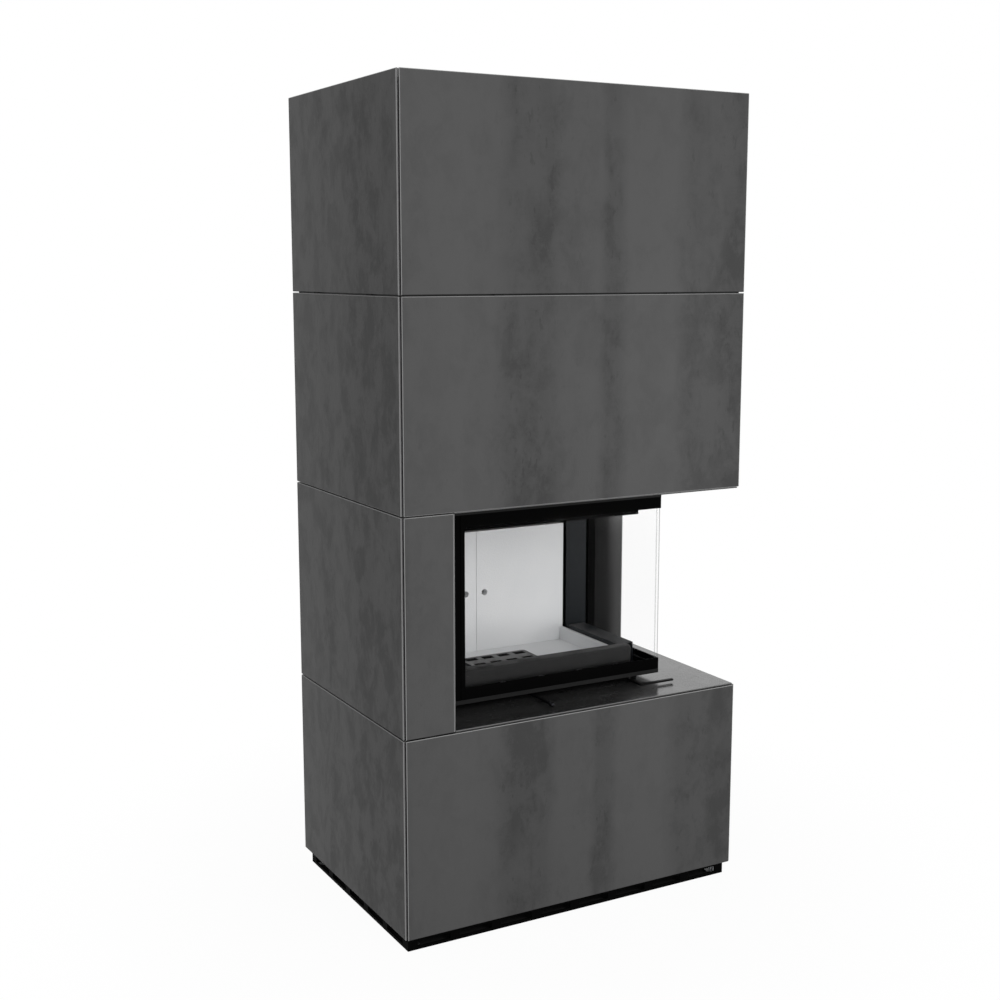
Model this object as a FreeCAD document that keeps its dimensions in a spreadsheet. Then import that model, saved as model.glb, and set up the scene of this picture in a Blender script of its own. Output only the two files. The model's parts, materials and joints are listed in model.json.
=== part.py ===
# Corner-glazed fireplace insert in a tower clad with stone-look slabs.
# The row frame has its origin under the middle of the tower on the floor, +Z up, the door facing -Y.
# Places below are measured from the tower's left face (x), front face (y) and the floor (z).
import FreeCAD, Part
import Sketcher
import os
import re

SIZES = [
    # Tower and its rows, from the floor up
    ("tower_width", 963), ("tower_depth", 646), ("plinth_height", 30), ("base_row_height", 492.5),
    ("niche_row_height", 525.5), ("middle_row_height", 495.5), ("top_row_height", 486.5),
    # Cladding slabs
    ("slab_thickness", 12), ("row_gap", 3), ("arris", 1.5), ("mitre_land", 0.5), ("corner_inset", 5.5),
    ("pilaster_width", 137), ("niche_rear_depth", 116.5), ("butt_gap", 1),
    # Plinth walls and their air windows
    ("plinth_recess", 7.5), ("plinth_right_recess", 21.5), ("plinth_rear_recess", 33),
    ("plinth_wall", 3), ("plinth_flange", 30), ("window_height", 15), ("window_sill", 8), ("window_post", 26),
    # Posts and rails behind the slabs, levelling feet
    ("post_side", 30), ("rail_height", 30), ("rail_depth", 20), ("tube_wall", 2),
    ("foot_radius", 18), ("foot_disc", 6), ("foot_stem_radius", 5),
    ("spacer_length", 24), ("spacer_depth", 6),
    # Rear panels and the cover grille on top
    ("panel_thickness", 2), ("screw_radius", 4), ("screw_head", 3),
    ("grille_drop", 17), ("grille_thickness", 3), ("grille_slot_length", 70), ("grille_slot_width", 8),
    ("grille_side_width", 52.5), ("grille_slot_inset", 60),
    # Insert front: one frame size for the door and the glazed side
    ("insert_left_gap", 28), ("insert_right_gap", 151.5), ("insert_rear_gap", 1.5), ("insert_setback", 135),
    ("insert_lift", 16.4), ("insert_headroom", 19.1), ("trim", 10.6), ("band", 30),
    ("stile_width", 55.9), ("stile_lip", 12),
    ("door_thickness", 18), ("door_gap", 3), ("corner_gap", 1), ("rail_lip", 4),
    ("glass_thickness", 4), ("glass_gap", 0.5), ("glass_bite", 16),
    ("rear_post_depth", 49), ("post_wing", 50), ("side_depth", 14.5),
    ("clip_length", 18), ("clip_thickness", 4), ("clip_height", 14), ("seal_side", 2.6), ("seal_inset", 5),
    # Hinges
    ("hinge_pin_radius", 3), ("hinge_clearance", 0.05), ("hinge_inset", 5), ("hinge_plate", 4),
    ("hinge_reach", 8), ("hinge_gap", 1), ("pin_bite", 14),
    # Door handle and its cam
    ("handle_pivot_inset", 88.5), ("handle_length", 105), ("handle_width", 8), ("handle_height", 5),
    ("handle_reach", 59.5), ("handle_floor_gap", 5), ("spindle_radius", 4), ("spindle_clearance", 0.06),
    ("cam_width", 7), ("cam_height", 4), ("cam_gap", 1.2),
    # Air slide, lever and knob
    ("lever_offset", 58.25), ("lever_width", 8), ("lever_height", 4), ("lever_reach", 72),
    ("lever_drop", 10.4),
    ("air_travel", 30), ("slide_length", 120), ("slide_depth", 22), ("slide_thickness", 3),
    ("air_hole_radius", 6), ("slot_height", 8), ("knob_radius", 6), ("knob_length", 18),
    # Insert body in sheet steel
    ("plate", 3), ("base_left_inset", 13), ("base_right_inset", 31.5), ("base_setback", 55),
    ("base_drop", 110), ("intake_radius", 60), ("cutout_gap", 5), ("leg_side", 30),
    ("hood_height", 200), ("hood_margin", 70), ("hood_shoulder", 18),
    ("flue_rear_distance", 178), ("flue_radius", 75), ("flue_wall", 2), ("collar_height", 55),
    ("fit_gap", 0.3),
    # Fire chamber
    ("hearth_thickness", 15), ("lining_thickness", 25), ("lining_left_inset", 15), ("lining_right_inset", 74),
    ("lining_headroom", 130), ("board_gap", 1), ("board_hole_radius", 8.5),
    ("board_hole_offset", 29), ("board_hole_shift", 3.5), ("board_hole_rise", 164),
    ("curb_thickness", 10), ("curb_height", 37), ("duct_width", 52), ("duct_height", 63),
    ("duct_setback", 69), ("corner_reach", 26), ("wall_gap", 9),
    ("baffle_rise", 92), ("baffle_thickness", 20), ("baffle_setback", 79),
    ("wash_depth", 18), ("wash_height", 14), ("wash_end_gap", 57.5), ("flange", 36),
    # Grate, ash pan and log guard
    ("grate_width", 202), ("grate_front_gap", 58), ("grate_rear_gap", 86), ("grate_thickness", 12),
    ("grate_corner_radius", 10), ("grate_slot_length", 32), ("grate_side_rim", 12.1), ("grate_end_rim", 10.5),
    ("grate_seat", 6), ("pan_clearance", 3),
    ("pan_headroom", 10.7), ("pan_wall", 1.5), ("guard_inset", 70), ("guard_gap", 2),
    ("guard_depth", 32), ("guard_height", 62), ("guard_radius", 9),
    # One overrun for every cut
    ("overrun", 5),
]
MM = dict(SIZES)

FRONT_WINDOWS = 8
SIDE_WINDOWS = 5
GRATE_COLUMNS = 4
GRATE_ROWS = 4
GRATE_SLOT_SHARE = 0.123
GRILLE_SLOTS = 9
DOOR_CLIPS = 4
SIDE_CLIPS = 2

doc = FreeCAD.newDocument("fireplace")
sheet = doc.addObject("Spreadsheet::Sheet", "Size")
for row, (name, value) in enumerate(SIZES, start=1):
    sheet.set(f"A{row}", name)
    sheet.set(f"B{row}", str(value))
    sheet.setAlias(f"B{row}", name)
doc.recompute()

nodes = []


def formula(text):
    """An expression in the sheet's names, for setExpression."""
    return re.sub(r"[A-Za-z_]+", lambda m: "Size." + m[0] if m[0] in MM else m[0], text)


def bind(item, prop, text):
    item.setExpression(prop, formula(text))


def settle(item, x, y, z):
    """Puts an object's own origin at a place measured from the left face, the front face and the floor."""
    bind(item, "Placement.Base.x", f"({x}) - tower_width / 2")
    bind(item, "Placement.Base.y", f"({y}) - tower_depth / 2")
    bind(item, "Placement.Base.z", z)


def node(item, label):
    item.Label = label
    nodes.append(item)
    return item


def block(x, y, z):
    """A box between two places along each axis."""
    item = doc.addObject("Part::Box", "Block")
    for prop, (low, high) in zip(("Length", "Width", "Height"), (x, y, z)):
        bind(item, prop, f"({high}) - ({low})")
    settle(item, x[0], y[0], z[0])
    return item


AXES = {"x": FreeCAD.Vector(1, 0, 0), "y": FreeCAD.Vector(0, 1, 0), "z": FreeCAD.Vector(0, 0, 1)}


def rod(axis, x, y, z, radius, length):
    """A cylinder that starts at a place and runs along +X, +Y or +Z."""
    item = doc.addObject("Part::Cylinder", "Rod")
    item.Placement = FreeCAD.Placement(FreeCAD.Vector(), FreeCAD.Rotation(AXES["z"], AXES[axis]))
    bind(item, "Radius", radius)
    bind(item, "Height", length)
    settle(item, x, y, z)
    return item


def fuse(parts):
    item = doc.addObject("Part::MultiFuse", "Joined")
    item.Shapes = parts
    item.Refine = True
    return item


def cut(base, tools):
    item = doc.addObject("Part::Cut", "Cut")
    item.Base = base
    item.Tool = tools[0] if len(tools) == 1 else fuse(tools)
    item.Refine = True
    return item


def group(parts):
    item = doc.addObject("Part::Compound", "Group")
    item.Links = parts
    return item


def tube(axis, x, y, z):
    """A square tube: a box with a bore along the given axis."""
    inner = []
    for name, (low, high) in zip("xyz", (x, y, z)):
        grow = "overrun" if name == axis else "-tube_wall"
        inner.append((f"({low}) - ({grow})", f"({high}) + ({grow})"))
    return cut(block(x, y, z), [block(*inner)])


def sketch_rectangle(body, role, x, y, width, height):
    """A rectangle on one of the body's own planes; x and y are the corner's distances from its origin."""
    sketch = body.newObject("Sketcher::SketchObject", "Outline")
    plane = next(f for f in body.Origin.OriginFeatures if f.Role == role)
    sketch.AttachmentSupport = [(plane, "")]
    sketch.MapMode = "FlatFace"
    near, far = MM["slab_thickness"], MM["slab_thickness"] * 2
    corners = [FreeCAD.Vector(*at, 0) for at in ((near, near), (far, near), (far, far), (near, far))]
    for i in range(4):
        sketch.addGeometry(Part.LineSegment(corners[i], corners[(i + 1) % 4]), False)
    rules = [Sketcher.Constraint("Coincident", i, 2, (i + 1) % 4, 1) for i in range(4)]
    rules += [Sketcher.Constraint(kind, i) for i, kind in enumerate(("Horizontal", "Vertical") * 2)]
    sketch.addConstraint(rules)
    if x == "0":
        sketch.addConstraint(Sketcher.Constraint("Coincident", 0, 1, -1, 1))
    else:
        for kind, text in (("DistanceX", x), ("DistanceY", y)):
            index = sketch.addConstraint(Sketcher.Constraint(kind, -1, 1, 0, 1, near))
            bind(sketch, f"Constraints[{index}]", text)
    for kind, side, text in (("DistanceX", 0, width), ("DistanceY", 1, height)):
        index = sketch.addConstraint(Sketcher.Constraint(kind, side, 1, side, 2, near))
        bind(sketch, f"Constraints[{index}]", text)
    return sketch


def pad(body, sketch, length, reverse=False):
    feature = body.newObject("PartDesign::Pad", "Pad")
    feature.Profile = sketch
    bind(feature, "Length", length)
    feature.Reversed = reverse
    doc.recompute()
    return feature


def pierce(body, sketch):
    """A pocket right through the body, both ways from its sketch."""
    feature = body.newObject("PartDesign::Pocket", "Pocket")
    feature.Profile = sketch
    feature.Type = "ThroughAll"
    feature.Midplane = True
    return feature


def repeat(body, feature, sketch, length, count):
    """A row of copies of a feature along its sketch's horizontal axis."""
    row = body.newObject("PartDesign::LinearPattern", "Repeated")
    row.Originals = [feature]
    row.Direction = (sketch, ["H_Axis"])
    bind(row, "Length", length)
    row.Occurrences = count
    body.Tip = row
    return row


def dress(body, kind, feature, size, test):
    """A chamfer or fillet on the edges whose bounds pass the test."""
    edges = [f"Edge{i}" for i, edge in enumerate(feature.Shape.Edges, start=1) if test(edge.BoundBox)]
    item = body.newObject(f"PartDesign::{kind}", kind)
    item.Base = (feature, edges)
    bind(item, "Radius" if kind == "Fillet" else "Size", size)
    doc.recompute()
    return item


def close(a, b):
    return abs(a - b) < MM["mitre_land"] / 10


def upright(box):
    """A test for edges that run the whole height of a box."""
    return lambda b: close(b.ZMin, box.ZMin) and close(b.ZMax, box.ZMax)


FACINGS = {
    "front": FreeCAD.Rotation(AXES["z"], 0),
    "left": FreeCAD.Rotation(AXES["z"], -90),
    "right": FreeCAD.Rotation(AXES["z"], 90),
    "up": FreeCAD.Rotation(AXES["x"], -90),
    "down": FreeCAD.Rotation(AXES["x"], 90),
}
MITRE = "slab_thickness - arris - mitre_land"


def facing_body(label, facing, x, y, z):
    """A body whose own -Y side faces the given way, with its origin at a place."""
    body = doc.addObject("PartDesign::Body", label)
    body.Placement = FreeCAD.Placement(FreeCAD.Vector(), FACINGS[facing])
    settle(body, x, y, z)
    return body


def slab(label, facing, x, y, z, width, height, mitres):
    """A slab with its outer face on the facing side, an arris round that face and mitred back edges.

    Its own X runs along the width and its own Z up the height, seen from outside.
    """
    body = facing_body(label, facing, x, y, z)
    outline = sketch_rectangle(body, "XZ_Plane", "0", "0", width, height)
    solid = pad(body, outline, "slab_thickness", reverse=True)
    box = solid.Shape.BoundBox
    worn = dress(body, "Chamfer", solid, "arris", lambda b: close(b.YMax, box.YMin))
    ends = {"left": lambda b: close(b.XMax, box.XMin), "right": lambda b: close(b.XMin, box.XMax),
            "foot": lambda b: close(b.ZMax, box.ZMin), "head": lambda b: close(b.ZMin, box.ZMax)}
    for end in mitres:
        worn = dress(body, "Chamfer", worn, MITRE, lambda b: close(b.YMin, box.YMax) and ends[end](b))
    body.Tip = worn
    return body


# Levels of the rows
NICHE = "plinth_height + base_row_height"
MIDDLE = f"{NICHE} + niche_row_height"
TOP = f"{MIDDLE} + middle_row_height"
ROOF = f"{TOP} + top_row_height"
FLOOR = f"{NICHE} + row_gap"
SOFFIT = f"{MIDDLE} - row_gap"
HALF_GAP = "row_gap / 2"

ROWS = {
    "base": ("plinth_height", f"{NICHE} - {HALF_GAP}"),
    "niche": (f"{NICHE} + {HALF_GAP}", f"{MIDDLE} - {HALF_GAP}"),
    "middle": (f"{MIDDLE} + {HALF_GAP}", f"{TOP} - {HALF_GAP}"),
    "top": (f"{TOP} + {HALF_GAP}", ROOF),
}


def clad_rows():
    """The left, front and right slabs of every row; the niche row has pilasters beside the niche."""
    meets_niche = {"base": ["head"], "middle": ["foot"], "top": []}
    for name, (low, high) in ROWS.items():
        height = f"({high}) - ({low})"
        node(slab(f"left_{name}_slab", "left", "0", "tower_depth", low, "tower_depth - corner_inset",
                  height, ["right"]), f"left_{name}_slab")
        if name == "niche":
            node(slab("front_pilaster_slab", "front", "corner_inset", "0", low,
                      "pilaster_width - 2 * corner_inset", height, ["left", "right"]), "front_pilaster_slab")
            node(slab("right_pilaster_slab", "right", "tower_width", f"{NICHE_BACK} + corner_inset", low,
                      f"tower_depth - {NICHE_BACK} - corner_inset", height, ["left"]), "right_pilaster_slab")
        else:
            node(slab(f"front_{name}_slab", "front", "corner_inset", "0", low,
                      "tower_width - 2 * corner_inset", height, ["left", "right"] + meets_niche[name]),
                 f"front_{name}_slab")
            node(slab(f"right_{name}_slab", "right", "tower_width", "corner_inset", low,
                      "tower_depth - corner_inset", height, ["left"] + meets_niche[name]),
                 f"right_{name}_slab")


# The insert's outline in plan and height
NICHE_BACK = "(tower_depth - niche_rear_depth)"
LEFT = "(pilaster_width + insert_left_gap)"
RIGHT = "(tower_width - insert_right_gap)"
FRONT = "insert_setback"
BODY_REAR = f"({NICHE_BACK} - insert_rear_gap)"
BOTTOM = f"{FLOOR} + insert_lift"
CROWN = f"{SOFFIT} - insert_headroom"
DOOR_BACK = f"{FRONT} + door_thickness"
BODY_FRONT = f"{DOOR_BACK} + door_gap"
CHAMBER_RIGHT = f"{RIGHT} - side_depth"
HOOD_LEFT = f"{LEFT} + hood_margin"
HOOD_RIGHT = f"{RIGHT} - hood_margin"
HOOD_FRONT = f"{BODY_FRONT} + hood_margin"
HOOD_REAR = f"{BODY_REAR} - plate - cutout_gap"
FLUE_X = f"({LEFT} + {RIGHT}) / 2"
FLUE_Y = f"({BODY_REAR} - flue_rear_distance)"
GLAZING_END = f"({BODY_REAR} - rear_post_depth)"
PANE_FRONT = f"{FRONT} + rail_lip + glass_gap"
PANE_BACK = f"{PANE_FRONT} + glass_thickness"
INNER_BOTTOM = f"{BOTTOM} + trim"
INNER_TOP = f"{CROWN} - trim"
VIEW_BOTTOM = f"{INNER_BOTTOM} + band"
VIEW_TOP = f"{INNER_TOP} - band"
VIEW_LEFT = f"{LEFT} + trim + stile_width"
PANE_BOTTOM = f"{VIEW_BOTTOM} - glass_bite"
PANE_TOP = f"{VIEW_TOP} + glass_bite"
PANE_LEFT = f"{VIEW_LEFT} - glass_bite"


def line_niche():
    """Floor, soffit, cheek and rear slabs of the niche."""
    across = "tower_width - corner_inset - pilaster_width"
    deep = f"{NICHE_BACK} - corner_inset"
    floor = slab("floor_slab_blank", "up", "pilaster_width", "corner_inset", FLOOR, across, deep,
                 ["foot", "right"])
    hole = block((f"{BASE_LEFT} - cutout_gap", f"{BASE_RIGHT} + cutout_gap"),
                 (f"{BASE_FRONT} - cutout_gap", f"{NICHE_BACK} + overrun"),
                 (f"{FLOOR} - slab_thickness - overrun", f"{FLOOR} + overrun"))
    node(cut(floor, [hole]), "niche_floor_slab")
    soffit = slab("soffit_slab_blank", "down", "pilaster_width", NICHE_BACK, SOFFIT, across, deep,
                  ["head", "right"])
    hole = block((f"{HOOD_LEFT} - cutout_gap", f"{HOOD_RIGHT} + cutout_gap"),
                 (f"{HOOD_FRONT} - cutout_gap", f"{NICHE_BACK} + overrun"),
                 (f"{SOFFIT} - overrun", f"{SOFFIT} + slab_thickness + overrun"))
    node(cut(soffit, [hole]), "niche_soffit_slab")
    low, high = ROWS["niche"]
    height = f"({high}) - ({low})"
    node(slab("niche_cheek_slab", "right", "pilaster_width", "corner_inset", low,
              f"{NICHE_BACK} - corner_inset", height, ["left"]), "niche_cheek_slab")
    node(slab("niche_rear_slab", "front", f"{RIGHT} - slab_thickness", NICHE_BACK, low,
              f"tower_width - corner_inset - ({RIGHT}) + slab_thickness", height, ["right"]),
         "niche_rear_slab")


def plinth():
    """Plinth walls with a flange under the rails; air enters through windows in the front and both sides."""
    right = "tower_width - plinth_right_recess"
    rear = "tower_depth - plinth_rear_recess"
    side_length = f"{rear} - plinth_recess - 2 * plinth_wall"
    walls = []
    for facing, x, y, length, windows in (
            ("front", "plinth_recess", "plinth_recess", f"{right} - plinth_recess", FRONT_WINDOWS),
            ("left", "plinth_recess", f"{rear} - plinth_wall", side_length, SIDE_WINDOWS),
            ("right", right, "plinth_recess + plinth_wall", side_length, SIDE_WINDOWS)):
        body = facing_body("PlinthWall", facing, x, y, "0")
        pad(body, sketch_rectangle(body, "XZ_Plane", "0", "0", length, "plinth_height"), "plinth_wall",
            reverse=True)
        pitch = f"(({length}) - window_post) / {windows}"
        opening = sketch_rectangle(body, "XZ_Plane", "window_post", "window_sill",
                                   f"{pitch} - window_post", "window_height")
        window = pierce(body, opening)
        repeat(body, window, opening, f"({pitch}) * {windows - 1}", windows)
        doc.recompute()
        walls.append(body)
    walls.append(block(("plinth_recess", right), (f"{rear} - plinth_wall", rear), ("0", "plinth_height")))
    z = ("plinth_height - plinth_wall", "plinth_height")
    inner_y = ("plinth_recess + plinth_wall", f"{rear} - plinth_wall")
    flanges = [
        block(("plinth_recess + plinth_wall", f"{right} - plinth_wall"),
              (inner_y[0], f"{inner_y[0]} + plinth_flange"), z),
        block(("plinth_recess + plinth_wall", f"{right} - plinth_wall"),
              (f"{inner_y[1]} - plinth_flange", inner_y[1]), z),
        block(("plinth_recess + plinth_wall", "plinth_recess + plinth_wall + plinth_flange"),
              (f"{inner_y[0]} + plinth_flange", f"{inner_y[1]} - plinth_flange"), z),
        block((f"{right} - plinth_wall - plinth_flange", f"{right} - plinth_wall"),
              (f"{inner_y[0]} + plinth_flange", f"{inner_y[1]} - plinth_flange"), z),
    ]
    node(group(walls + flanges), "plinth_walls")


# The tower's frame stands behind the slabs on the sides and behind the panels at the rear
FRAME_LEFT = "slab_thickness"
FRAME_RIGHT = "tower_width - slab_thickness"
FRAME_FRONT = "slab_thickness"
FRAME_REAR = "tower_depth - slab_thickness - panel_thickness"
POSTS = {
    "front_left": (FRAME_LEFT, FRAME_FRONT),
    "front_right": (f"{FRAME_RIGHT} - post_side", FRAME_FRONT),
    "rear_left": (FRAME_LEFT, f"{FRAME_REAR} - post_side"),
    "rear_right": (f"{FRAME_RIGHT} - post_side", f"{FRAME_REAR} - post_side"),
    "cheek": ("pilaster_width - slab_thickness - post_side", FRAME_FRONT),
    "niche_corner": (f"{FRAME_RIGHT} - post_side", f"{NICHE_BACK} + slab_thickness"),
}
# Bottom of each ring of rails, from the plinth up, with the posts that stand on it
RINGS = [
    ("plinth_height", ["front_left", "front_right", "rear_left", "rear_right"]),
    (f"{FLOOR} - slab_thickness - rail_height",
     ["front_left", "cheek", "niche_corner", "rear_left", "rear_right"]),
    (f"{SOFFIT} + slab_thickness", ["front_left", "front_right", "rear_left", "rear_right"]),
    (f"{TOP} - rail_height / 2", ["front_left", "front_right", "rear_left", "rear_right"]),
    (f"{ROOF} - grille_drop - grille_thickness - rail_height", []),
]


def frame():
    """Rings of square-tube rails at every level and the posts between them."""
    rails = []
    posts = []
    wide = (FRAME_LEFT, FRAME_RIGHT)
    deep = (f"{FRAME_FRONT} + rail_depth", f"{FRAME_REAR} - rail_depth")
    for i, (level, places) in enumerate(RINGS):
        z = (level, f"{level} + rail_height")
        rails += [
            tube("x", wide, (FRAME_FRONT, f"{FRAME_FRONT} + rail_depth"), z),
            tube("x", wide, (f"{FRAME_REAR} - rail_depth", FRAME_REAR), z),
            tube("y", (FRAME_LEFT, f"{FRAME_LEFT} + rail_depth"), deep, z),
            tube("y", (f"{FRAME_RIGHT} - rail_depth", FRAME_RIGHT), deep, z),
        ]
        for place in places:
            x, y = POSTS[place]
            posts.append(tube("z", (x, f"{x} + post_side"), (y, f"{y} + post_side"),
                              (z[1], RINGS[i + 1][0])))
    node(group(rails), "frame_rails")
    node(group(posts), "frame_posts")


def screw_foot(x, y, stem_radius, height):
    """A disc on the floor with a threaded stem up into what it carries."""
    disc = rod("z", x, y, "0", "foot_radius", "foot_disc")
    stem = rod("z", x, y, "0", stem_radius, height)
    return fuse([disc, stem])


def levelling_feet():
    """Screw feet inside the plinth's corners and under the insert's legs."""
    inset = "plinth_wall + foot_radius + fit_gap"
    feet = []
    for x in (f"plinth_recess + {inset}", f"tower_width - plinth_right_recess - ({inset})"):
        for y in (f"plinth_recess + {inset}", f"tower_depth - plinth_rear_recess - ({inset})"):
            feet.append(screw_foot(x, y, "foot_stem_radius", "plinth_height - plinth_wall"))
    for x, y in LEGS:
        feet.append(screw_foot(f"{x} + leg_side / 2", f"{y} + leg_side / 2",
                               "leg_side / 2 - tube_wall - fit_gap", "plinth_height + foot_radius"))
    node(group(feet), "levelling_feet")


def joint_spacers():
    """Thin pads between the edges of slabs that stand on each other."""
    pads = []
    inset = "(slab_thickness - spacer_depth) / 2"
    band_x = (inset, f"{inset} + spacer_depth")
    far_x = (f"tower_width - {inset} - spacer_depth", f"tower_width - {inset}")
    for level in (NICHE, MIDDLE, TOP):
        z = (f"{level} - {HALF_GAP}", f"{level} + {HALF_GAP}")
        full = level == TOP
        for share in (1, 3):
            y = f"tower_depth * {share} / 4"
            pads.append(block(band_x, (y, f"{y} + spacer_length"), z))
            if full:
                pads.append(block(far_x, (y, f"{y} + spacer_length"), z))
                x = f"tower_width * {share} / 4"
                pads.append(block((x, f"{x} + spacer_length"), band_x, z))
        if not full:
            y = f"({NICHE_BACK} + tower_depth - spacer_length) / 2"
            pads.append(block(far_x, (y, f"{y} + spacer_length"), z))
            x = "(pilaster_width - spacer_length) / 2"
            pads.append(block((x, f"{x} + spacer_length"), band_x, z))
    node(group(pads), "joint_spacers")


def rear_panels():
    """Sheet panels that close the back, and the screws that hold them to the rear rails."""
    y = (FRAME_REAR, f"{FRAME_REAR} + panel_thickness")
    x = (f"{FRAME_LEFT} + butt_gap", f"{FRAME_RIGHT} - butt_gap")
    floor_ring, soffit_ring = RINGS[1][0], RINGS[2][0]
    middle = "rail_height / 2"
    joints = ["plinth_height", f"{floor_ring} + {middle}", f"{soffit_ring} + {middle}", ROOF]
    panels = [block(x, y, (f"{low} + {HALF_GAP}", f"{high} - {HALF_GAP}"))
              for low, high in zip(joints[:-1], joints[1:])]
    node(group(panels), "rear_panels")
    screws = []
    for i, (level, _) in enumerate(RINGS):
        heights = [f"{level} + {middle}"]
        if i in (1, 2):
            heights = [f"{level} + rail_height / 4", f"{level} + rail_height * 3 / 4"]
        for z in heights:
            for share in (1, 3, 5):
                screws.append(rod("y", f"tower_width * {share} / 6", y[1], z, "screw_radius", "screw_head"))
    node(group(screws), "rear_panel_screws")


def top_grille():
    """Cover sheet on the roof rails with warm-air slots and the hole for the flue pipe."""
    level = f"{ROOF} - grille_drop - grille_thickness"
    body = doc.addObject("PartDesign::Body", "grille_blank")
    settle(body, f"{FRAME_LEFT} + butt_gap", f"{FRAME_FRONT} + butt_gap", level)
    width = f"{FRAME_RIGHT} - {FRAME_LEFT} - 2 * butt_gap"
    depth = f"{FRAME_REAR} - {FRAME_FRONT} - 2 * butt_gap"
    pad(body, sketch_rectangle(body, "XY_Plane", "0", "0", width, depth), "grille_thickness")
    run = f"{width} - 2 * grille_side_width - grille_slot_length"
    for place in ("grille_slot_inset", f"{depth} - grille_slot_inset - grille_slot_width"):
        outline = sketch_rectangle(body, "XY_Plane", "grille_side_width", place,
                                   "grille_slot_length", "grille_slot_width")
        slot = pierce(body, outline)
        repeat(body, slot, outline, run, GRILLE_SLOTS)
        doc.recompute()
    hole = rod("z", FLUE_X, FLUE_Y, f"{level} - overrun", "flue_radius + flue_wall + fit_gap",
               "grille_thickness + 2 * overrun")
    node(cut(body, [hole]), "top_grille")


# The door turns about its left rear edge; beside the corner it is only as deep as its pane
HINGE_X = f"{LEFT} + hinge_inset"
HINGE_Y = f"{DOOR_BACK} - hinge_inset"
DOOR_CORNER = f"{CHAMBER_RIGHT} - corner_gap"
SPINDLE_X = f"({RIGHT} - handle_pivot_inset)"
SPINDLE_Y = PANE_FRONT + " + spindle_radius"


def stepped(low_x, front_y, z):
    """A door bar that is full depth up to the corner and pane depth beyond it."""
    return [block((low_x, DOOR_CORNER), (front_y, DOOR_BACK), z),
            block((DOOR_CORNER, RIGHT), (front_y, PANE_BACK), z)]


def spread(low, high, count):
    """Starts of clips spread evenly between two places."""
    return [f"({low}) + (({high}) - ({low})) * {i + 1} / {count + 1} - clip_length / 2" for i in range(count)]


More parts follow.
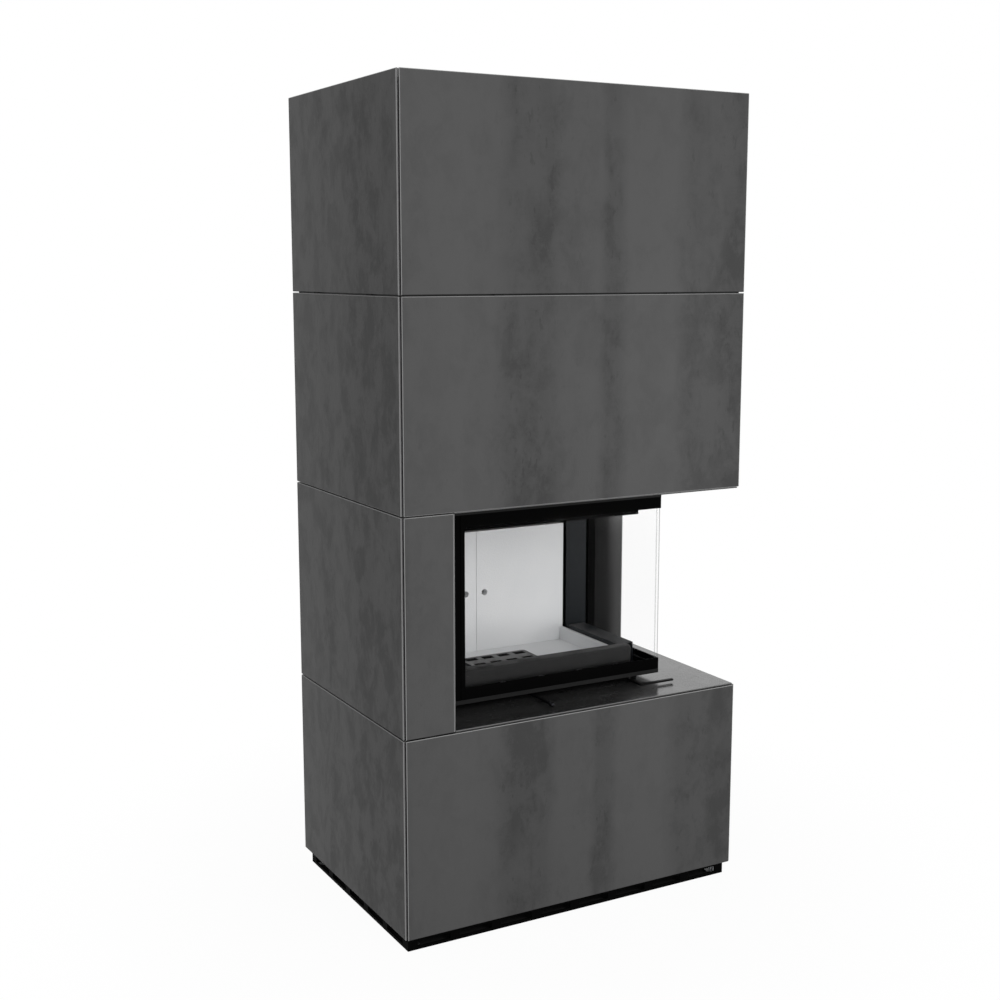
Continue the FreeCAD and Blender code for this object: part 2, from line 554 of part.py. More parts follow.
def door():
    """Trims, rails, stile, pane, clips and seal of the door, and its hinges."""
    leaf_low = (f"{BOTTOM} - hinge_gap - hinge_plate", f"{CROWN} + plate")
    pin_spans = [(leaf_low[0], f"{BOTTOM} + pin_bite"),
                 (f"{CROWN} - pin_bite", f"{leaf_low[1]} + hinge_plate")]
    pins, seats = [[rod("z", HINGE_X, HINGE_Y, low, "hinge_pin_radius", f"({high}) - ({low})")
                    for low, high in pin_spans] for _ in range(2)]
    node(group(pins), "hinge_pins")
    upright = cut(block((LEFT, f"{LEFT} + trim"), (FRONT, DOOR_BACK), (BOTTOM, CROWN)), seats)
    head = fuse(stepped(f"{LEFT} + trim", FRONT, (INNER_TOP, CROWN)))
    bore = rod("z", SPINDLE_X, SPINDLE_Y, f"{BOTTOM} - overrun", "spindle_radius + spindle_clearance",
               "trim + 2 * overrun")
    foot = cut(fuse(stepped(f"{LEFT} + trim", FRONT, (BOTTOM, INNER_BOTTOM))), [bore])
    node(group([upright, head, foot]), "door_trims")

    behind_lip = f"{FRONT} + rail_lip"
    lip_y = (FRONT, behind_lip)
    seat_low = (INNER_BOTTOM, f"{PANE_BOTTOM} - glass_gap")
    seat_high = (f"{PANE_TOP} + glass_gap", INNER_TOP)
    cam_room = block((f"{SPINDLE_X} - cam_width", f"{SPINDLE_X} + handle_width * 2"),
                     (f"{SPINDLE_Y} - spindle_radius - fit_gap", f"{DOOR_BACK} + overrun"),
                     (f"{INNER_BOTTOM} - overrun", f"{INNER_BOTTOM} + cam_height + cam_gap"))
    node(cut(fuse([block((VIEW_LEFT, RIGHT), lip_y, (INNER_BOTTOM, VIEW_BOTTOM))]
                  + stepped(VIEW_LEFT, behind_lip, seat_low)), [cam_room]), "door_bottom_rail")
    node(fuse([block((VIEW_LEFT, RIGHT), lip_y, (VIEW_TOP, INNER_TOP))]
              + stepped(VIEW_LEFT, behind_lip, seat_high)), "door_top_rail")

    stile_z = (INNER_BOTTOM, INNER_TOP)
    lip_x = f"{VIEW_LEFT} - stile_lip"
    pane_side = f"{PANE_LEFT} - glass_gap"
    node(fuse([block((lip_x, VIEW_LEFT), lip_y, stile_z),
               block((f"{LEFT} + trim", pane_side), (behind_lip, DOOR_BACK), stile_z),
               block((pane_side, VIEW_LEFT), (behind_lip, DOOR_BACK), seat_low),
               block((pane_side, VIEW_LEFT), (behind_lip, DOOR_BACK), seat_high)]), "door_stile")
    node(block((f"{LEFT} + trim", f"{lip_x} - butt_gap"), lip_y, stile_z), "door_stile_cover")
    node(block((PANE_LEFT, RIGHT), (PANE_FRONT, PANE_BACK), (PANE_BOTTOM, PANE_TOP)), "front_glass")

    clips = []
    clip_y = (PANE_BACK, f"{PANE_BACK} + clip_thickness")
    for x in spread(VIEW_LEFT, DOOR_CORNER, DOOR_CLIPS):
        for low in (seat_low[1], f"{seat_high[0]} - clip_height"):
            clips.append(block((x, f"{x} + clip_length"), clip_y, (low, f"{low} + clip_height")))
    node(group(clips), "glass_clips")

    seal_x = f"{PANE_LEFT} - clip_length"
    seal_y = (DOOR_BACK, f"{DOOR_BACK} + seal_side")
    low = f"{INNER_BOTTOM} + seal_inset"
    high = f"{INNER_TOP} - seal_inset"
    node(fuse([block((seal_x, DOOR_CORNER), seal_y, (low, f"{low} + 2 * seal_side")),
               block((seal_x, DOOR_CORNER), seal_y, (f"{high} - 2 * seal_side", high)),
               block((seal_x, f"{seal_x} + 2 * seal_side"), seal_y, (low, high))]), "door_seal")

    brackets = []
    for low in leaf_low:
        leaf = block((f"{HINGE_X} - hinge_reach", f"{HINGE_X} + hinge_reach"),
                     (f"{HINGE_Y} - hinge_reach", f"{BODY_FRONT} + 2 * hinge_reach"),
                     (low, f"{low} + hinge_plate"))
        if low == leaf_low[0]:
            packer = block((f"{HINGE_X} - hinge_reach", f"{HINGE_X} + hinge_reach"),
                           (f"{BODY_FRONT} + butt_gap", f"{BODY_FRONT} + 2 * hinge_reach"),
                           (f"{low} + hinge_plate", BOTTOM))
            leaf = fuse([leaf, packer])
        bore = rod("z", HINGE_X, HINGE_Y, f"{low} - overrun", "hinge_pin_radius + hinge_clearance",
                   "hinge_plate + 2 * overrun")
        brackets.append(cut(leaf, [bore]))
    node(group(brackets), "hinge_brackets")


def handle():
    """Bar, arm and spindle of the door handle, low over the niche floor, and the cam on its spindle."""
    low = f"{FLOOR} + handle_floor_gap"
    z = (low, f"{low} + handle_height")
    left = f"{SPINDLE_X} - handle_width / 2"
    front = f"{SPINDLE_Y} - handle_reach"
    bar = block((left, f"{left} + handle_length"), (front, f"{front} + handle_width"), z)
    arm = block((left, f"{left} + handle_width"), (front, f"{SPINDLE_Y} + handle_width / 2"), z)
    spindle = rod("z", SPINDLE_X, SPINDLE_Y, low, "spindle_radius",
                  f"({INNER_BOTTOM}) + cam_height - ({low})")
    cam = block((f"{SPINDLE_X} - cam_width / 2", f"{SPINDLE_X} + cam_width / 2"),
                (SPINDLE_Y, f"{BODY_FRONT} - cam_gap"), (INNER_BOTTOM, f"{INNER_BOTTOM} + cam_height"))
    node(fuse([bar, arm, spindle, cam]), "door_handle")


def side_glazing():
    """The fixed pane on the right with its trims, rails, post and clips."""
    inner = CHAMBER_RIGHT
    front = f"{PANE_BACK} + corner_gap"
    pane_out = f"{RIGHT} - rail_lip - glass_gap"
    pane_x = (f"{pane_out} - glass_thickness", pane_out)
    trim_y = (front, BODY_REAR)
    node(group([block((inner, RIGHT), trim_y, (BOTTOM, INNER_BOTTOM)),
                block((inner, RIGHT), trim_y, (INNER_TOP, CROWN))]), "side_trims")
    y = (front, GLAZING_END)
    lip_x = (f"{RIGHT} - rail_lip", RIGHT)
    seat_x = (inner, f"{RIGHT} - rail_lip")
    node(group([fuse([block(lip_x, y, (INNER_BOTTOM, VIEW_BOTTOM)),
                      block(seat_x, y, (INNER_BOTTOM, f"{PANE_BOTTOM} - glass_gap"))]),
                fuse([block(lip_x, y, (VIEW_TOP, INNER_TOP)),
                      block(seat_x, y, (f"{PANE_TOP} + glass_gap", INNER_TOP))])]), "side_rails")
    post_z = (INNER_BOTTOM, INNER_TOP)
    post = fuse([block((inner, RIGHT), (GLAZING_END, BODY_REAR), post_z),
                 block((inner, f"{RIGHT} + post_wing"), (f"{BODY_REAR} - plate", BODY_REAR), post_z)])
    groove = block((f"{pane_x[0]} - glass_gap", f"{pane_x[1]} + glass_gap"),
                   (f"{GLAZING_END} - overrun", f"{GLAZING_END} + glass_bite + glass_gap"),
                   (f"{PANE_BOTTOM} - glass_gap", f"{PANE_TOP} + glass_gap"))
    node(cut(post, [groove]), "side_rear_post")
    node(block(pane_x, (front, f"{GLAZING_END} + glass_bite"), (PANE_BOTTOM, PANE_TOP)), "side_glass")
    clips = []
    clip_x = (f"{pane_x[0]} - clip_thickness", pane_x[0])
    for at in spread(front, GLAZING_END, SIDE_CLIPS):
        for low in (f"{PANE_BOTTOM} - glass_gap", f"{PANE_TOP} + glass_gap - clip_height"):
            clips.append(block(clip_x, (at, f"{at} + clip_length"), (low, f"{low} + clip_height")))
    node(group(clips), "side_glass_clips")


# Sheet body of the insert
DECK = f"{BOTTOM} + plate"
HEARTH = f"{DECK} + hearth_thickness"
BASE_BOTTOM = f"{BOTTOM} - base_drop"
BASE_LEFT = f"({LEFT} + base_left_inset)"
BASE_RIGHT = f"({RIGHT} - base_right_inset)"
BASE_FRONT = f"({FRONT} + base_setback)"
LINING_LEFT = f"({LEFT} + lining_left_inset)"
LINING_RIGHT = f"({RIGHT} - lining_right_inset)"
LINING_FRONT = f"({BODY_REAR} - plate - lining_thickness)"
LINING_TOP = f"{CROWN} - lining_headroom"
BAFFLE_FRONT = f"({BODY_FRONT} + baffle_setback)"
GRATE_FRONT = f"({BODY_FRONT} + grate_front_gap)"
GRATE_REAR = f"({LINING_FRONT} - grate_rear_gap)"
GRATE_X = f"({LINING_LEFT} + {LINING_RIGHT}) / 2"
OPENING_X = (f"{GRATE_X} - grate_width / 2 + grate_seat", f"{GRATE_X} + grate_width / 2 - grate_seat")
OPENING_Y = (f"{GRATE_FRONT} + grate_seat", f"{GRATE_REAR} - grate_seat")
LEVER_X = f"({FLUE_X} - lever_offset)"
LEVER_FRONT = f"({FRONT} - lever_reach)"
LEVER_Z = f"{BOTTOM} - lever_drop"
SLIDE_Y = f"{BASE_FRONT} + plate + fit_gap"
LEGS = [(x, y) for x in (BASE_LEFT, f"{BASE_RIGHT} - leg_side")
        for y in (BASE_FRONT, f"{BODY_REAR} - leg_side")]


def air_holes(level, thickness):
    """Cutting rods for the row of air holes that the slide and its seat share."""
    y = f"{SLIDE_Y} + slide_depth * 2 / 3"
    return [rod("z", f"{LEVER_X} + slide_length * {n} / 8", y, f"{level} - overrun", "air_hole_radius",
                f"{thickness} + 2 * overrun") for n in (-3, -1, 1, 3)]


def frustum(wall, top_gap):
    """The hood's outline drawn in by a wall, from the top plate up to the flue."""
    wedge = doc.addObject("Part::Wedge", "Wedge")
    wedge.Placement = FreeCAD.Placement(FreeCAD.Vector(), FreeCAD.Rotation(AXES["x"], 90))
    half = f"(flue_radius + hood_shoulder - {wall})"
    bind(wedge, "Xmin", wall)
    bind(wedge, "Xmax", f"({HOOD_RIGHT}) - ({HOOD_LEFT}) - {wall}")
    bind(wedge, "Zmin", wall)
    bind(wedge, "Zmax", f"({HOOD_REAR}) - ({HOOD_FRONT}) - {wall}")
    bind(wedge, "Ymin", "0")
    bind(wedge, "Ymax", f"hood_height - {top_gap}")
    bind(wedge, "X2min", f"({FLUE_X}) - ({HOOD_LEFT}) - {half}")
    bind(wedge, "X2max", f"({FLUE_X}) - ({HOOD_LEFT}) + {half}")
    bind(wedge, "Z2min", f"{HOOD_REAR} - {FLUE_Y} - {half}")
    bind(wedge, "Z2max", f"{HOOD_REAR} - {FLUE_Y} + {half}")
    settle(wedge, HOOD_LEFT, HOOD_REAR, f"{CROWN} + plate")
    return wedge


def insert_body():
    """Base box, hearth plate, walls, top plate, smoke hood with its collar, flue pipe and legs."""
    box = block((BASE_LEFT, BASE_RIGHT), (BASE_FRONT, BODY_REAR), (BASE_BOTTOM, BOTTOM))
    room = block((f"{BASE_LEFT} + plate", f"{BASE_RIGHT} - plate"),
                 (f"{BASE_FRONT} + plate", f"{BODY_REAR} - plate"),
                 (f"{BASE_BOTTOM} + plate", f"{BOTTOM} + overrun"))
    slot_low = f"{LEVER_Z} + lever_height / 2 - slot_height / 2"
    slot = block((f"{LEVER_X} - air_travel - lever_width", f"{LEVER_X} + air_travel + lever_width"),
                 (f"{BASE_FRONT} - overrun", f"{BASE_FRONT} + plate + overrun"),
                 (slot_low, f"{slot_low} + slot_height"))
    intake = rod("z", FLUE_X, f"({BASE_FRONT} + {BODY_REAR}) / 2", f"{BASE_BOTTOM} - overrun",
                 "intake_radius", "plate + 2 * overrun")
    seat_top = f"{LEVER_Z} - slide_thickness - fit_gap"
    seat = block((f"{LEVER_X} - slide_length", f"{LEVER_X} + slide_length"),
                 (BASE_FRONT, f"{SLIDE_Y} + slide_depth"), (f"{seat_top} - plate", seat_top))
    seat = cut(seat, air_holes(f"{seat_top} - plate", "plate"))
    node(fuse([cut(box, [room, slot, intake]), seat]), "firebox_base")

    deck = block((LEFT, CHAMBER_RIGHT), (BODY_FRONT, BODY_REAR), (BOTTOM, DECK))
    lip = block((LEFT, CHAMBER_RIGHT), (BODY_FRONT, f"{BODY_FRONT} + plate"), (DECK, HEARTH))
    opening = block(OPENING_X, OPENING_Y, (f"{BOTTOM} - overrun", f"{DECK} + overrun"))
    node(cut(fuse([deck, lip]), [opening]), "hearth_plate")

    behind_lip = f"{BODY_FRONT} + plate"
    rear = block((LEFT, CHAMBER_RIGHT), (f"{BODY_REAR} - plate", BODY_REAR), (DECK, CROWN))
    side = block((LEFT, f"{LEFT} + plate"), (behind_lip, f"{BODY_REAR} - plate"), (DECK, CROWN))
    jamb = block((LEFT, f"{LEFT} + flange"), (BODY_FRONT, behind_lip), (HEARTH, CROWN))
    lug = block((f"{LEFT} + plate", f"{LINING_LEFT} + lining_thickness / 2"),
                (BAFFLE_FRONT, f"{BAFFLE_FRONT} + plate"),
                (f"{LINING_TOP} + baffle_rise - 2 * plate",
                 f"{LINING_TOP} + baffle_rise - plate"))
    node(fuse([rear, side, jamb, lug]), "firebox_walls")

    top = block((LEFT, RIGHT), (BODY_FRONT, BODY_REAR), (CROWN, f"{CROWN} + plate"))
    throat = block((f"{HOOD_LEFT} + plate", f"{HOOD_RIGHT} - plate"),
                   (f"{HOOD_FRONT} + plate", f"{HOOD_REAR} - plate"),
                   (f"{CROWN} - overrun", f"{CROWN} + plate + overrun"))
    node(cut(top, [throat]), "firebox_top_plate")

    hood_top = f"{CROWN} + plate + hood_height"
    mouth = rod("z", FLUE_X, FLUE_Y, f"{hood_top} - plate - overrun", "flue_radius", "plate + 2 * overrun")
    shell = cut(frustum("0", "0"), [frustum("plate", "plate"), mouth])
    socket = rod("z", FLUE_X, FLUE_Y, hood_top, "flue_radius + 2 * flue_wall + fit_gap", "collar_height")
    seat = rod("z", FLUE_X, FLUE_Y, hood_top, "flue_radius + flue_wall + fit_gap", "collar_height + overrun")
    node(fuse([shell, cut(socket, [seat])]), "smoke_hood")
    pipe_length = f"({ROOF}) - ({hood_top})"
    pipe = rod("z", FLUE_X, FLUE_Y, hood_top, "flue_radius + flue_wall", pipe_length)
    bore = rod("z", FLUE_X, FLUE_Y, f"{hood_top} - overrun", "flue_radius", f"{pipe_length} + 2 * overrun")
    node(cut(pipe, [bore]), "flue_pipe")
    node(group([tube("z", (x, f"{x} + leg_side"), (y, f"{y} + leg_side"), ("plinth_height", BASE_BOTTOM))
                for x, y in LEGS]), "insert_legs")


def air_control():
    """Slide plate with air holes, the lever through the slot, and its knob."""
    slide = block((f"{LEVER_X} - slide_length / 2", f"{LEVER_X} + slide_length / 2"),
                  (SLIDE_Y, f"{SLIDE_Y} + slide_depth"), (f"{LEVER_Z} - slide_thickness", LEVER_Z))
    lever = block((f"{LEVER_X} - lever_width / 2", f"{LEVER_X} + lever_width / 2"),
                  (LEVER_FRONT, f"{SLIDE_Y} + slide_depth / 3"), (LEVER_Z, f"{LEVER_Z} + lever_height"))
    node(fuse([cut(slide, air_holes(f"{LEVER_Z} - slide_thickness", "slide_thickness")), lever]), "air_slide")
    body = doc.addObject("PartDesign::Body", "air_knob")
    settle(body, LEVER_X, f"{LEVER_FRONT} - knob_length", f"{LEVER_Z} + lever_height / 2")
    half = sketch_rectangle(body, "XY_Plane", "0", "0", "knob_radius", "knob_length")
    turned = body.newObject("PartDesign::Revolution", "Turned")
    turned.Profile = half
    turned.ReferenceAxis = (half, ["V_Axis"])
    turned.Angle = 360
    body.Tip = turned
    node(body, "air_knob")


def chamber():
    """Hearth board, linings, curb, side duct, baffle and air-wash profile of the fire chamber."""
    board_right = f"{LINING_RIGHT} + board_gap"
    board = block((f"{LEFT} + plate", board_right),
                  (f"{BODY_FRONT} + plate + board_gap", f"{BODY_REAR} - plate"), (DECK, HEARTH))
    opening = block(OPENING_X, OPENING_Y, (f"{DECK} - overrun", f"{HEARTH} + overrun"))
    node(cut(board, [opening]), "hearth_board")

    lining_y = (LINING_FRONT, f"{LINING_FRONT} + lining_thickness")
    hole_z = f"{HEARTH} + board_hole_rise"
    halves = {"left": (LINING_LEFT, f"{GRATE_X} - board_gap / 2", "-"),
              "right": (f"{GRATE_X} + board_gap / 2", LINING_RIGHT, "+")}
    for name, (low, high, sign) in halves.items():
        hole_x = f"{GRATE_X} - board_hole_shift {sign} board_hole_offset"
        hole = rod("y", hole_x, f"{LINING_FRONT} - overrun", hole_z,
                   "board_hole_radius", "lining_thickness + 2 * overrun")
        node(cut(block((low, high), lining_y, (HEARTH, LINING_TOP)), [hole]), f"back_lining_{name}")
    node(block((LINING_LEFT, f"{LINING_LEFT} + lining_thickness"),
               (f"{BODY_FRONT} + plate + board_gap", LINING_FRONT), (HEARTH, LINING_TOP)), "left_lining")
    guard_rear = f"{BODY_FRONT} + guard_gap + guard_depth"
    node(block((f"{LINING_RIGHT} - curb_thickness", LINING_RIGHT), (f"{guard_rear} + butt_gap", LINING_FRONT),
               (HEARTH, f"{HEARTH} + curb_height")), "side_curb")

    duct_x = (board_right, f"{board_right} + duct_width")
    duct_y = (f"{BODY_FRONT} + duct_setback", f"{LINING_FRONT} - corner_reach - plate")
    outer = block(duct_x, duct_y, (DECK, f"{DECK} + duct_height"))
    inner = block((f"{duct_x[0]} + plate", f"{duct_x[1]} - plate"),
                  (f"{duct_y[0]} - overrun", f"{duct_y[1]} + overrun"),
                  (f"{DECK} - overrun", f"{DECK} + duct_height - plate"))
    wall = doc.addObject("Part::Wedge", "Wedge")
    wall.Placement = FreeCAD.Placement(FreeCAD.Vector(), FreeCAD.Rotation(AXES["x"] + AXES["y"], 180))
    bind(wall, "Xmin", "corner_reach")
    bind(wall, "Xmax", "corner_reach + plate")
    bind(wall, "X2min", "0")
    bind(wall, "X2max", "plate")
    for prop in ("Zmin", "Z2min", "Ymin"):
        bind(wall, prop, "0")
    for prop in ("Zmax", "Z2max"):
        bind(wall, prop, f"({CROWN}) - ({DECK})")
    wall_left = f"{board_right} + wall_gap"
    bind(wall, "Ymax", f"({CHAMBER_RIGHT}) - ({wall_left})")
    settle(wall, wall_left, f"{LINING_FRONT} - corner_reach", CROWN)
    node(group([cut(outer, [inner]), wall]), "side_air_duct")

    baffle = doc.addObject("Part::Wedge", "Wedge")
    run = f"lining_thickness + {LINING_FRONT} - {BAFFLE_FRONT}"
    bind(baffle, "Xmin", "0")
    bind(baffle, "X2min", "0")
    bind(baffle, "Xmax", f"{LINING_RIGHT} - {LINING_LEFT}")
    bind(baffle, "X2max", f"{LINING_RIGHT} - {LINING_LEFT}")
    bind(baffle, "Ymin", "0")
    bind(baffle, "Ymax", run)
    bind(baffle, "Zmin", "baffle_rise")
    bind(baffle, "Zmax", "baffle_rise + baffle_thickness")
    bind(baffle, "Z2min", "0")
    bind(baffle, "Z2max", "baffle_thickness")
    settle(baffle, LINING_LEFT, BAFFLE_FRONT, LINING_TOP)
    node(baffle, "baffle_plate")

    web_y = (BODY_FRONT, f"{BODY_FRONT} + plate")
    wash_end = f"{RIGHT} - wash_end_gap"
    foot = f"{VIEW_TOP} - wash_height"
    web = block((f"{LEFT} + flange", wash_end), web_y, (foot, CROWN))
    toe = block((f"{LEFT} + flange", wash_end), (BODY_FRONT, f"{BODY_FRONT} + wash_depth"),
                (foot, f"{foot} + plate"))
    node(fuse([web, toe]), "air_wash_profile")


def loose_iron():
    """Grate, ash pan and front log guard, which lift out."""
    body = doc.addObject("PartDesign::Body", "grate")
    settle(body, f"{GRATE_X} - grate_width / 2", GRATE_FRONT, f"{HEARTH} + fit_gap")
    depth = f"{GRATE_REAR} - {GRATE_FRONT}"
    plate = pad(body, sketch_rectangle(body, "XY_Plane", "0", "0", "grate_width", depth), "grate_thickness")
    dress(body, "Fillet", plate, "grate_corner_radius", upright(plate.Shape.BoundBox))
    span = f"({depth} - 2 * grate_end_rim)"
    slot_width = f"{span} * {GRATE_SLOT_SHARE}"
    outline = sketch_rectangle(body, "XY_Plane", "grate_side_rim", "grate_end_rim", "grate_slot_length",
                               slot_width)
    slot = pierce(body, outline)
    rows = repeat(body, slot, outline, "grate_width - 2 * grate_side_rim - grate_slot_length", GRATE_COLUMNS)
    rows.Direction2 = (outline, ["V_Axis"])
    bind(rows, "Length2", f"{span} - {slot_width}")
    rows.Occurrences2 = GRATE_ROWS
    doc.recompute()
    node(body, "grate")

    x = (f"{OPENING_X[0]} + pan_clearance", f"{OPENING_X[1]} - pan_clearance")
    y = (f"{OPENING_Y[0]} + pan_clearance", f"{OPENING_Y[1]} - pan_clearance")
    low = f"{BASE_BOTTOM} + plate + fit_gap"
    rim = f"{BOTTOM} - pan_headroom"
    outer = block(x, y, (low, rim))
    inner = block((f"{x[0]} + pan_wall", f"{x[1]} - pan_wall"), (f"{y[0]} + pan_wall", f"{y[1]} - pan_wall"),
                  (f"{low} + pan_wall", f"{rim} + overrun"))
    node(cut(outer, [inner]), "ash_pan")

    body = doc.addObject("PartDesign::Body", "front_log_guard")
    settle(body, f"{LEFT} + guard_inset", f"{BODY_FRONT} + guard_gap", f"{HEARTH} + fit_gap")
    width = f"{RIGHT} - {LEFT} - 2 * guard_inset"
    solid = pad(body, sketch_rectangle(body, "XY_Plane", "0", "0", width, "guard_depth"), "guard_height")
    box = solid.Shape.BoundBox
    corner = upright(box)
    body.Tip = dress(body, "Fillet", solid, "guard_radius",
                     lambda b: close(b.ZMin, box.ZMax) or corner(b) and close(b.XMin, box.XMax))
    node(body, "front_log_guard")


clad_rows()
line_niche()
plinth()
frame()
levelling_feet()
joint_spacers()
rear_panels()
top_grille()
door()
handle()
side_glazing()
insert_body()
air_control()
chamber()
loose_iron()

doc.recompute()
broken = [o.Label for o in doc.Objects if "Invalid" in o.State or "Error" in o.State]
broken += [o.Label for o in nodes if o.Shape.isNull() or not o.Shape.isValid()]
if broken:
    raise SystemExit(f"failed objects: {broken}")
os.makedirs("parts", exist_ok=True)
for item in nodes:
    item.Shape.exportStep(f"parts/{item.Label}.step")
print(len(nodes), "nodes")
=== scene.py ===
import json
import math

import bmesh
import bpy
from mathutils import Matrix, Vector

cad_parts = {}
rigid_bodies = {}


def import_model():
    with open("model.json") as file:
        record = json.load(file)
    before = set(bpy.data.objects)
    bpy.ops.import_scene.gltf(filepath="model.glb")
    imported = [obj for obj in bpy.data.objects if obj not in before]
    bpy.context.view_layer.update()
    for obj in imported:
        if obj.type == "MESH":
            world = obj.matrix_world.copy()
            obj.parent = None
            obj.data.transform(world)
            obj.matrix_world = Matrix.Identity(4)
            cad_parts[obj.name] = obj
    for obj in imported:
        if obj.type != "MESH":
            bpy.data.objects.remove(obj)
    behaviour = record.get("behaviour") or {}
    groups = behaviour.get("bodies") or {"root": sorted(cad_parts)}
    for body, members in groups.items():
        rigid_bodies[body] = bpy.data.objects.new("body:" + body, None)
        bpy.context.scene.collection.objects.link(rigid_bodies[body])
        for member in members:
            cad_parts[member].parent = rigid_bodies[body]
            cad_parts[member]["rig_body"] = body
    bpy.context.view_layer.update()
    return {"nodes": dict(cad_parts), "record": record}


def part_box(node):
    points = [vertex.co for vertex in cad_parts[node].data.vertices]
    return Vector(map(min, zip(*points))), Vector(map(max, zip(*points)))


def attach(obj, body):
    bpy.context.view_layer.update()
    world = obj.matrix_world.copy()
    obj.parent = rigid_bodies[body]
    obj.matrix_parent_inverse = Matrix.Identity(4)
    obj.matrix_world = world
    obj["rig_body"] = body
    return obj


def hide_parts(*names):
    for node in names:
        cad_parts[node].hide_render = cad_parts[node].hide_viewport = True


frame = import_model()
nodes = frame["nodes"]

# The view: a camera at the height of a standing person, to the left of the fireplace's front,
# turned to see the cladding's left face and the glazed niche.
camera = bpy.data.objects.new("camera", bpy.data.cameras.new("camera"))
bpy.context.scene.collection.objects.link(camera)
camera.data.lens = 51.53
camera.data.sensor_width = 36
camera.location = (-1.8377, -3.2044, 1.6030)
camera.rotation_euler = (math.radians(80.82), 0, math.radians(-29.19))
bpy.context.scene.camera = camera
bpy.context.scene.view_settings.view_transform = "Standard"


# The cladding: large-format fired slabs, 12 mm thick, with a concrete-like print. Cloudy stains run down
# them in upright bands that carry on from slab to slab, and the ground arrises show the paler body. The
# arrises on the under side are painted in a tone of their own, a painted shade.
class Socket:
    """One output of a shader node; arithmetic on it adds Math nodes to the same material."""

    def __init__(self, tree, output=None):
        self.tree = tree
        self.output = output

    def make(self, kind, settings=None, sockets=None, out=0):
        """Adds a node: its settings first, then the values or links of its sockets."""
        item = self.tree.nodes.new("ShaderNode" + kind)
        for key, value in (settings or {}).items():
            if key == "stops":
                ramp = item.color_ramp.elements
                while len(ramp) < len(value):
                    ramp.new(1)
                for element, (place, grey) in zip(ramp, value):
                    element.position = place
                    element.color = (grey, grey, grey, 1)
            else:
                setattr(item, key, value)
        for key, value in (sockets or {}).items():
            if isinstance(value, Socket):
                self.tree.links.new(value.output, item.inputs[key])
            else:
                item.inputs[key].default_value = value
        return Socket(self.tree, item.outputs[out])

    def calc(self, operation, *values):
        """A Math node on these values; each is a number or a socket."""
        return self.make("Math", {"operation": operation}, dict(enumerate(values)))

    def __add__(self, other):
        return self.calc("ADD", self, other)

    def __sub__(self, other):
        return self.calc("SUBTRACT", self, other)

    def __rsub__(self, other):
        return self.calc("SUBTRACT", other, self)

    def __mul__(self, other):
        return self.calc("MULTIPLY", self, other)

    def __abs__(self):
        return self.calc("ABSOLUTE", self)

    __radd__ = __add__
    __rmul__ = __mul__

    def split(self):
        """The three parts of a vector."""
        parts = self.make("SeparateXYZ", None, {0: self}).output.node
        return [Socket(self.tree, output) for output in parts.outputs]

    def fade(self, low, high):
        """0 below low and 1 above high, smooth between them."""
        return self.make("MapRange", {"interpolation_type": "SMOOTHSTEP"},
                         {"Value": self, "From Min": low, "From Max": high})

    def noise(self, scale, detail=4, roughness=0.55, distortion=0):
        """Noise between 0 and 1 at this socket's point, with a scale for each axis or one for all."""
        size = scale if isinstance(scale, tuple) else (scale,) * 3
        point = self.make("VectorMath", {"operation": "MULTIPLY"}, {0: self, 1: size})
        return self.make("TexNoise", None, {"Vector": point, "Scale": 1, "Detail": detail,
                                            "Roughness": roughness, "Distortion": distortion})

    def mixed(self, low, high):
        """A colour between two, by this value; a number is a grey."""
        low, high = (c if isinstance(c, (Socket, tuple)) else (c, c, c, 1) for c in (low, high))
        return self.make("Mix", {"data_type": "RGBA"}, {"Factor": self, 6: low, 7: high}, 2)


def material(name, **plain):
    """A material whose plain numbers sit on its own shader, with its Object point and normal."""
    item = bpy.data.materials.new(name)
    item.use_nodes = True
    shader = item.node_tree.nodes["Principled BSDF"]
    for key, value in plain.items():
        shader.inputs[key.replace("_", " ")].default_value = value
    point = Socket(item.node_tree).make("TexCoord", out=3)
    return item, point, Socket(item.node_tree, point.output.node.outputs["Normal"])


def feed(item, bump=None, depth=0, **sockets):
    """Links sockets to the material's shader; bump is a height between 0 and 1 of a depth in metres."""
    shader = item.node_tree.nodes["Principled BSDF"]
    if bump:
        sockets["Normal"] = bump.make("Bump", None, {"Strength": 1, "Distance": depth, "Height": bump})
    for key, value in sockets.items():
        item.node_tree.links.new(value.output, shader.inputs[key.replace("_", " ")])


def coat(item, *names):
    """Gives CAD pieces a material."""
    for name in names:
        mesh = nodes[name].data
        mesh.materials.clear()
        mesh.materials.append(item)


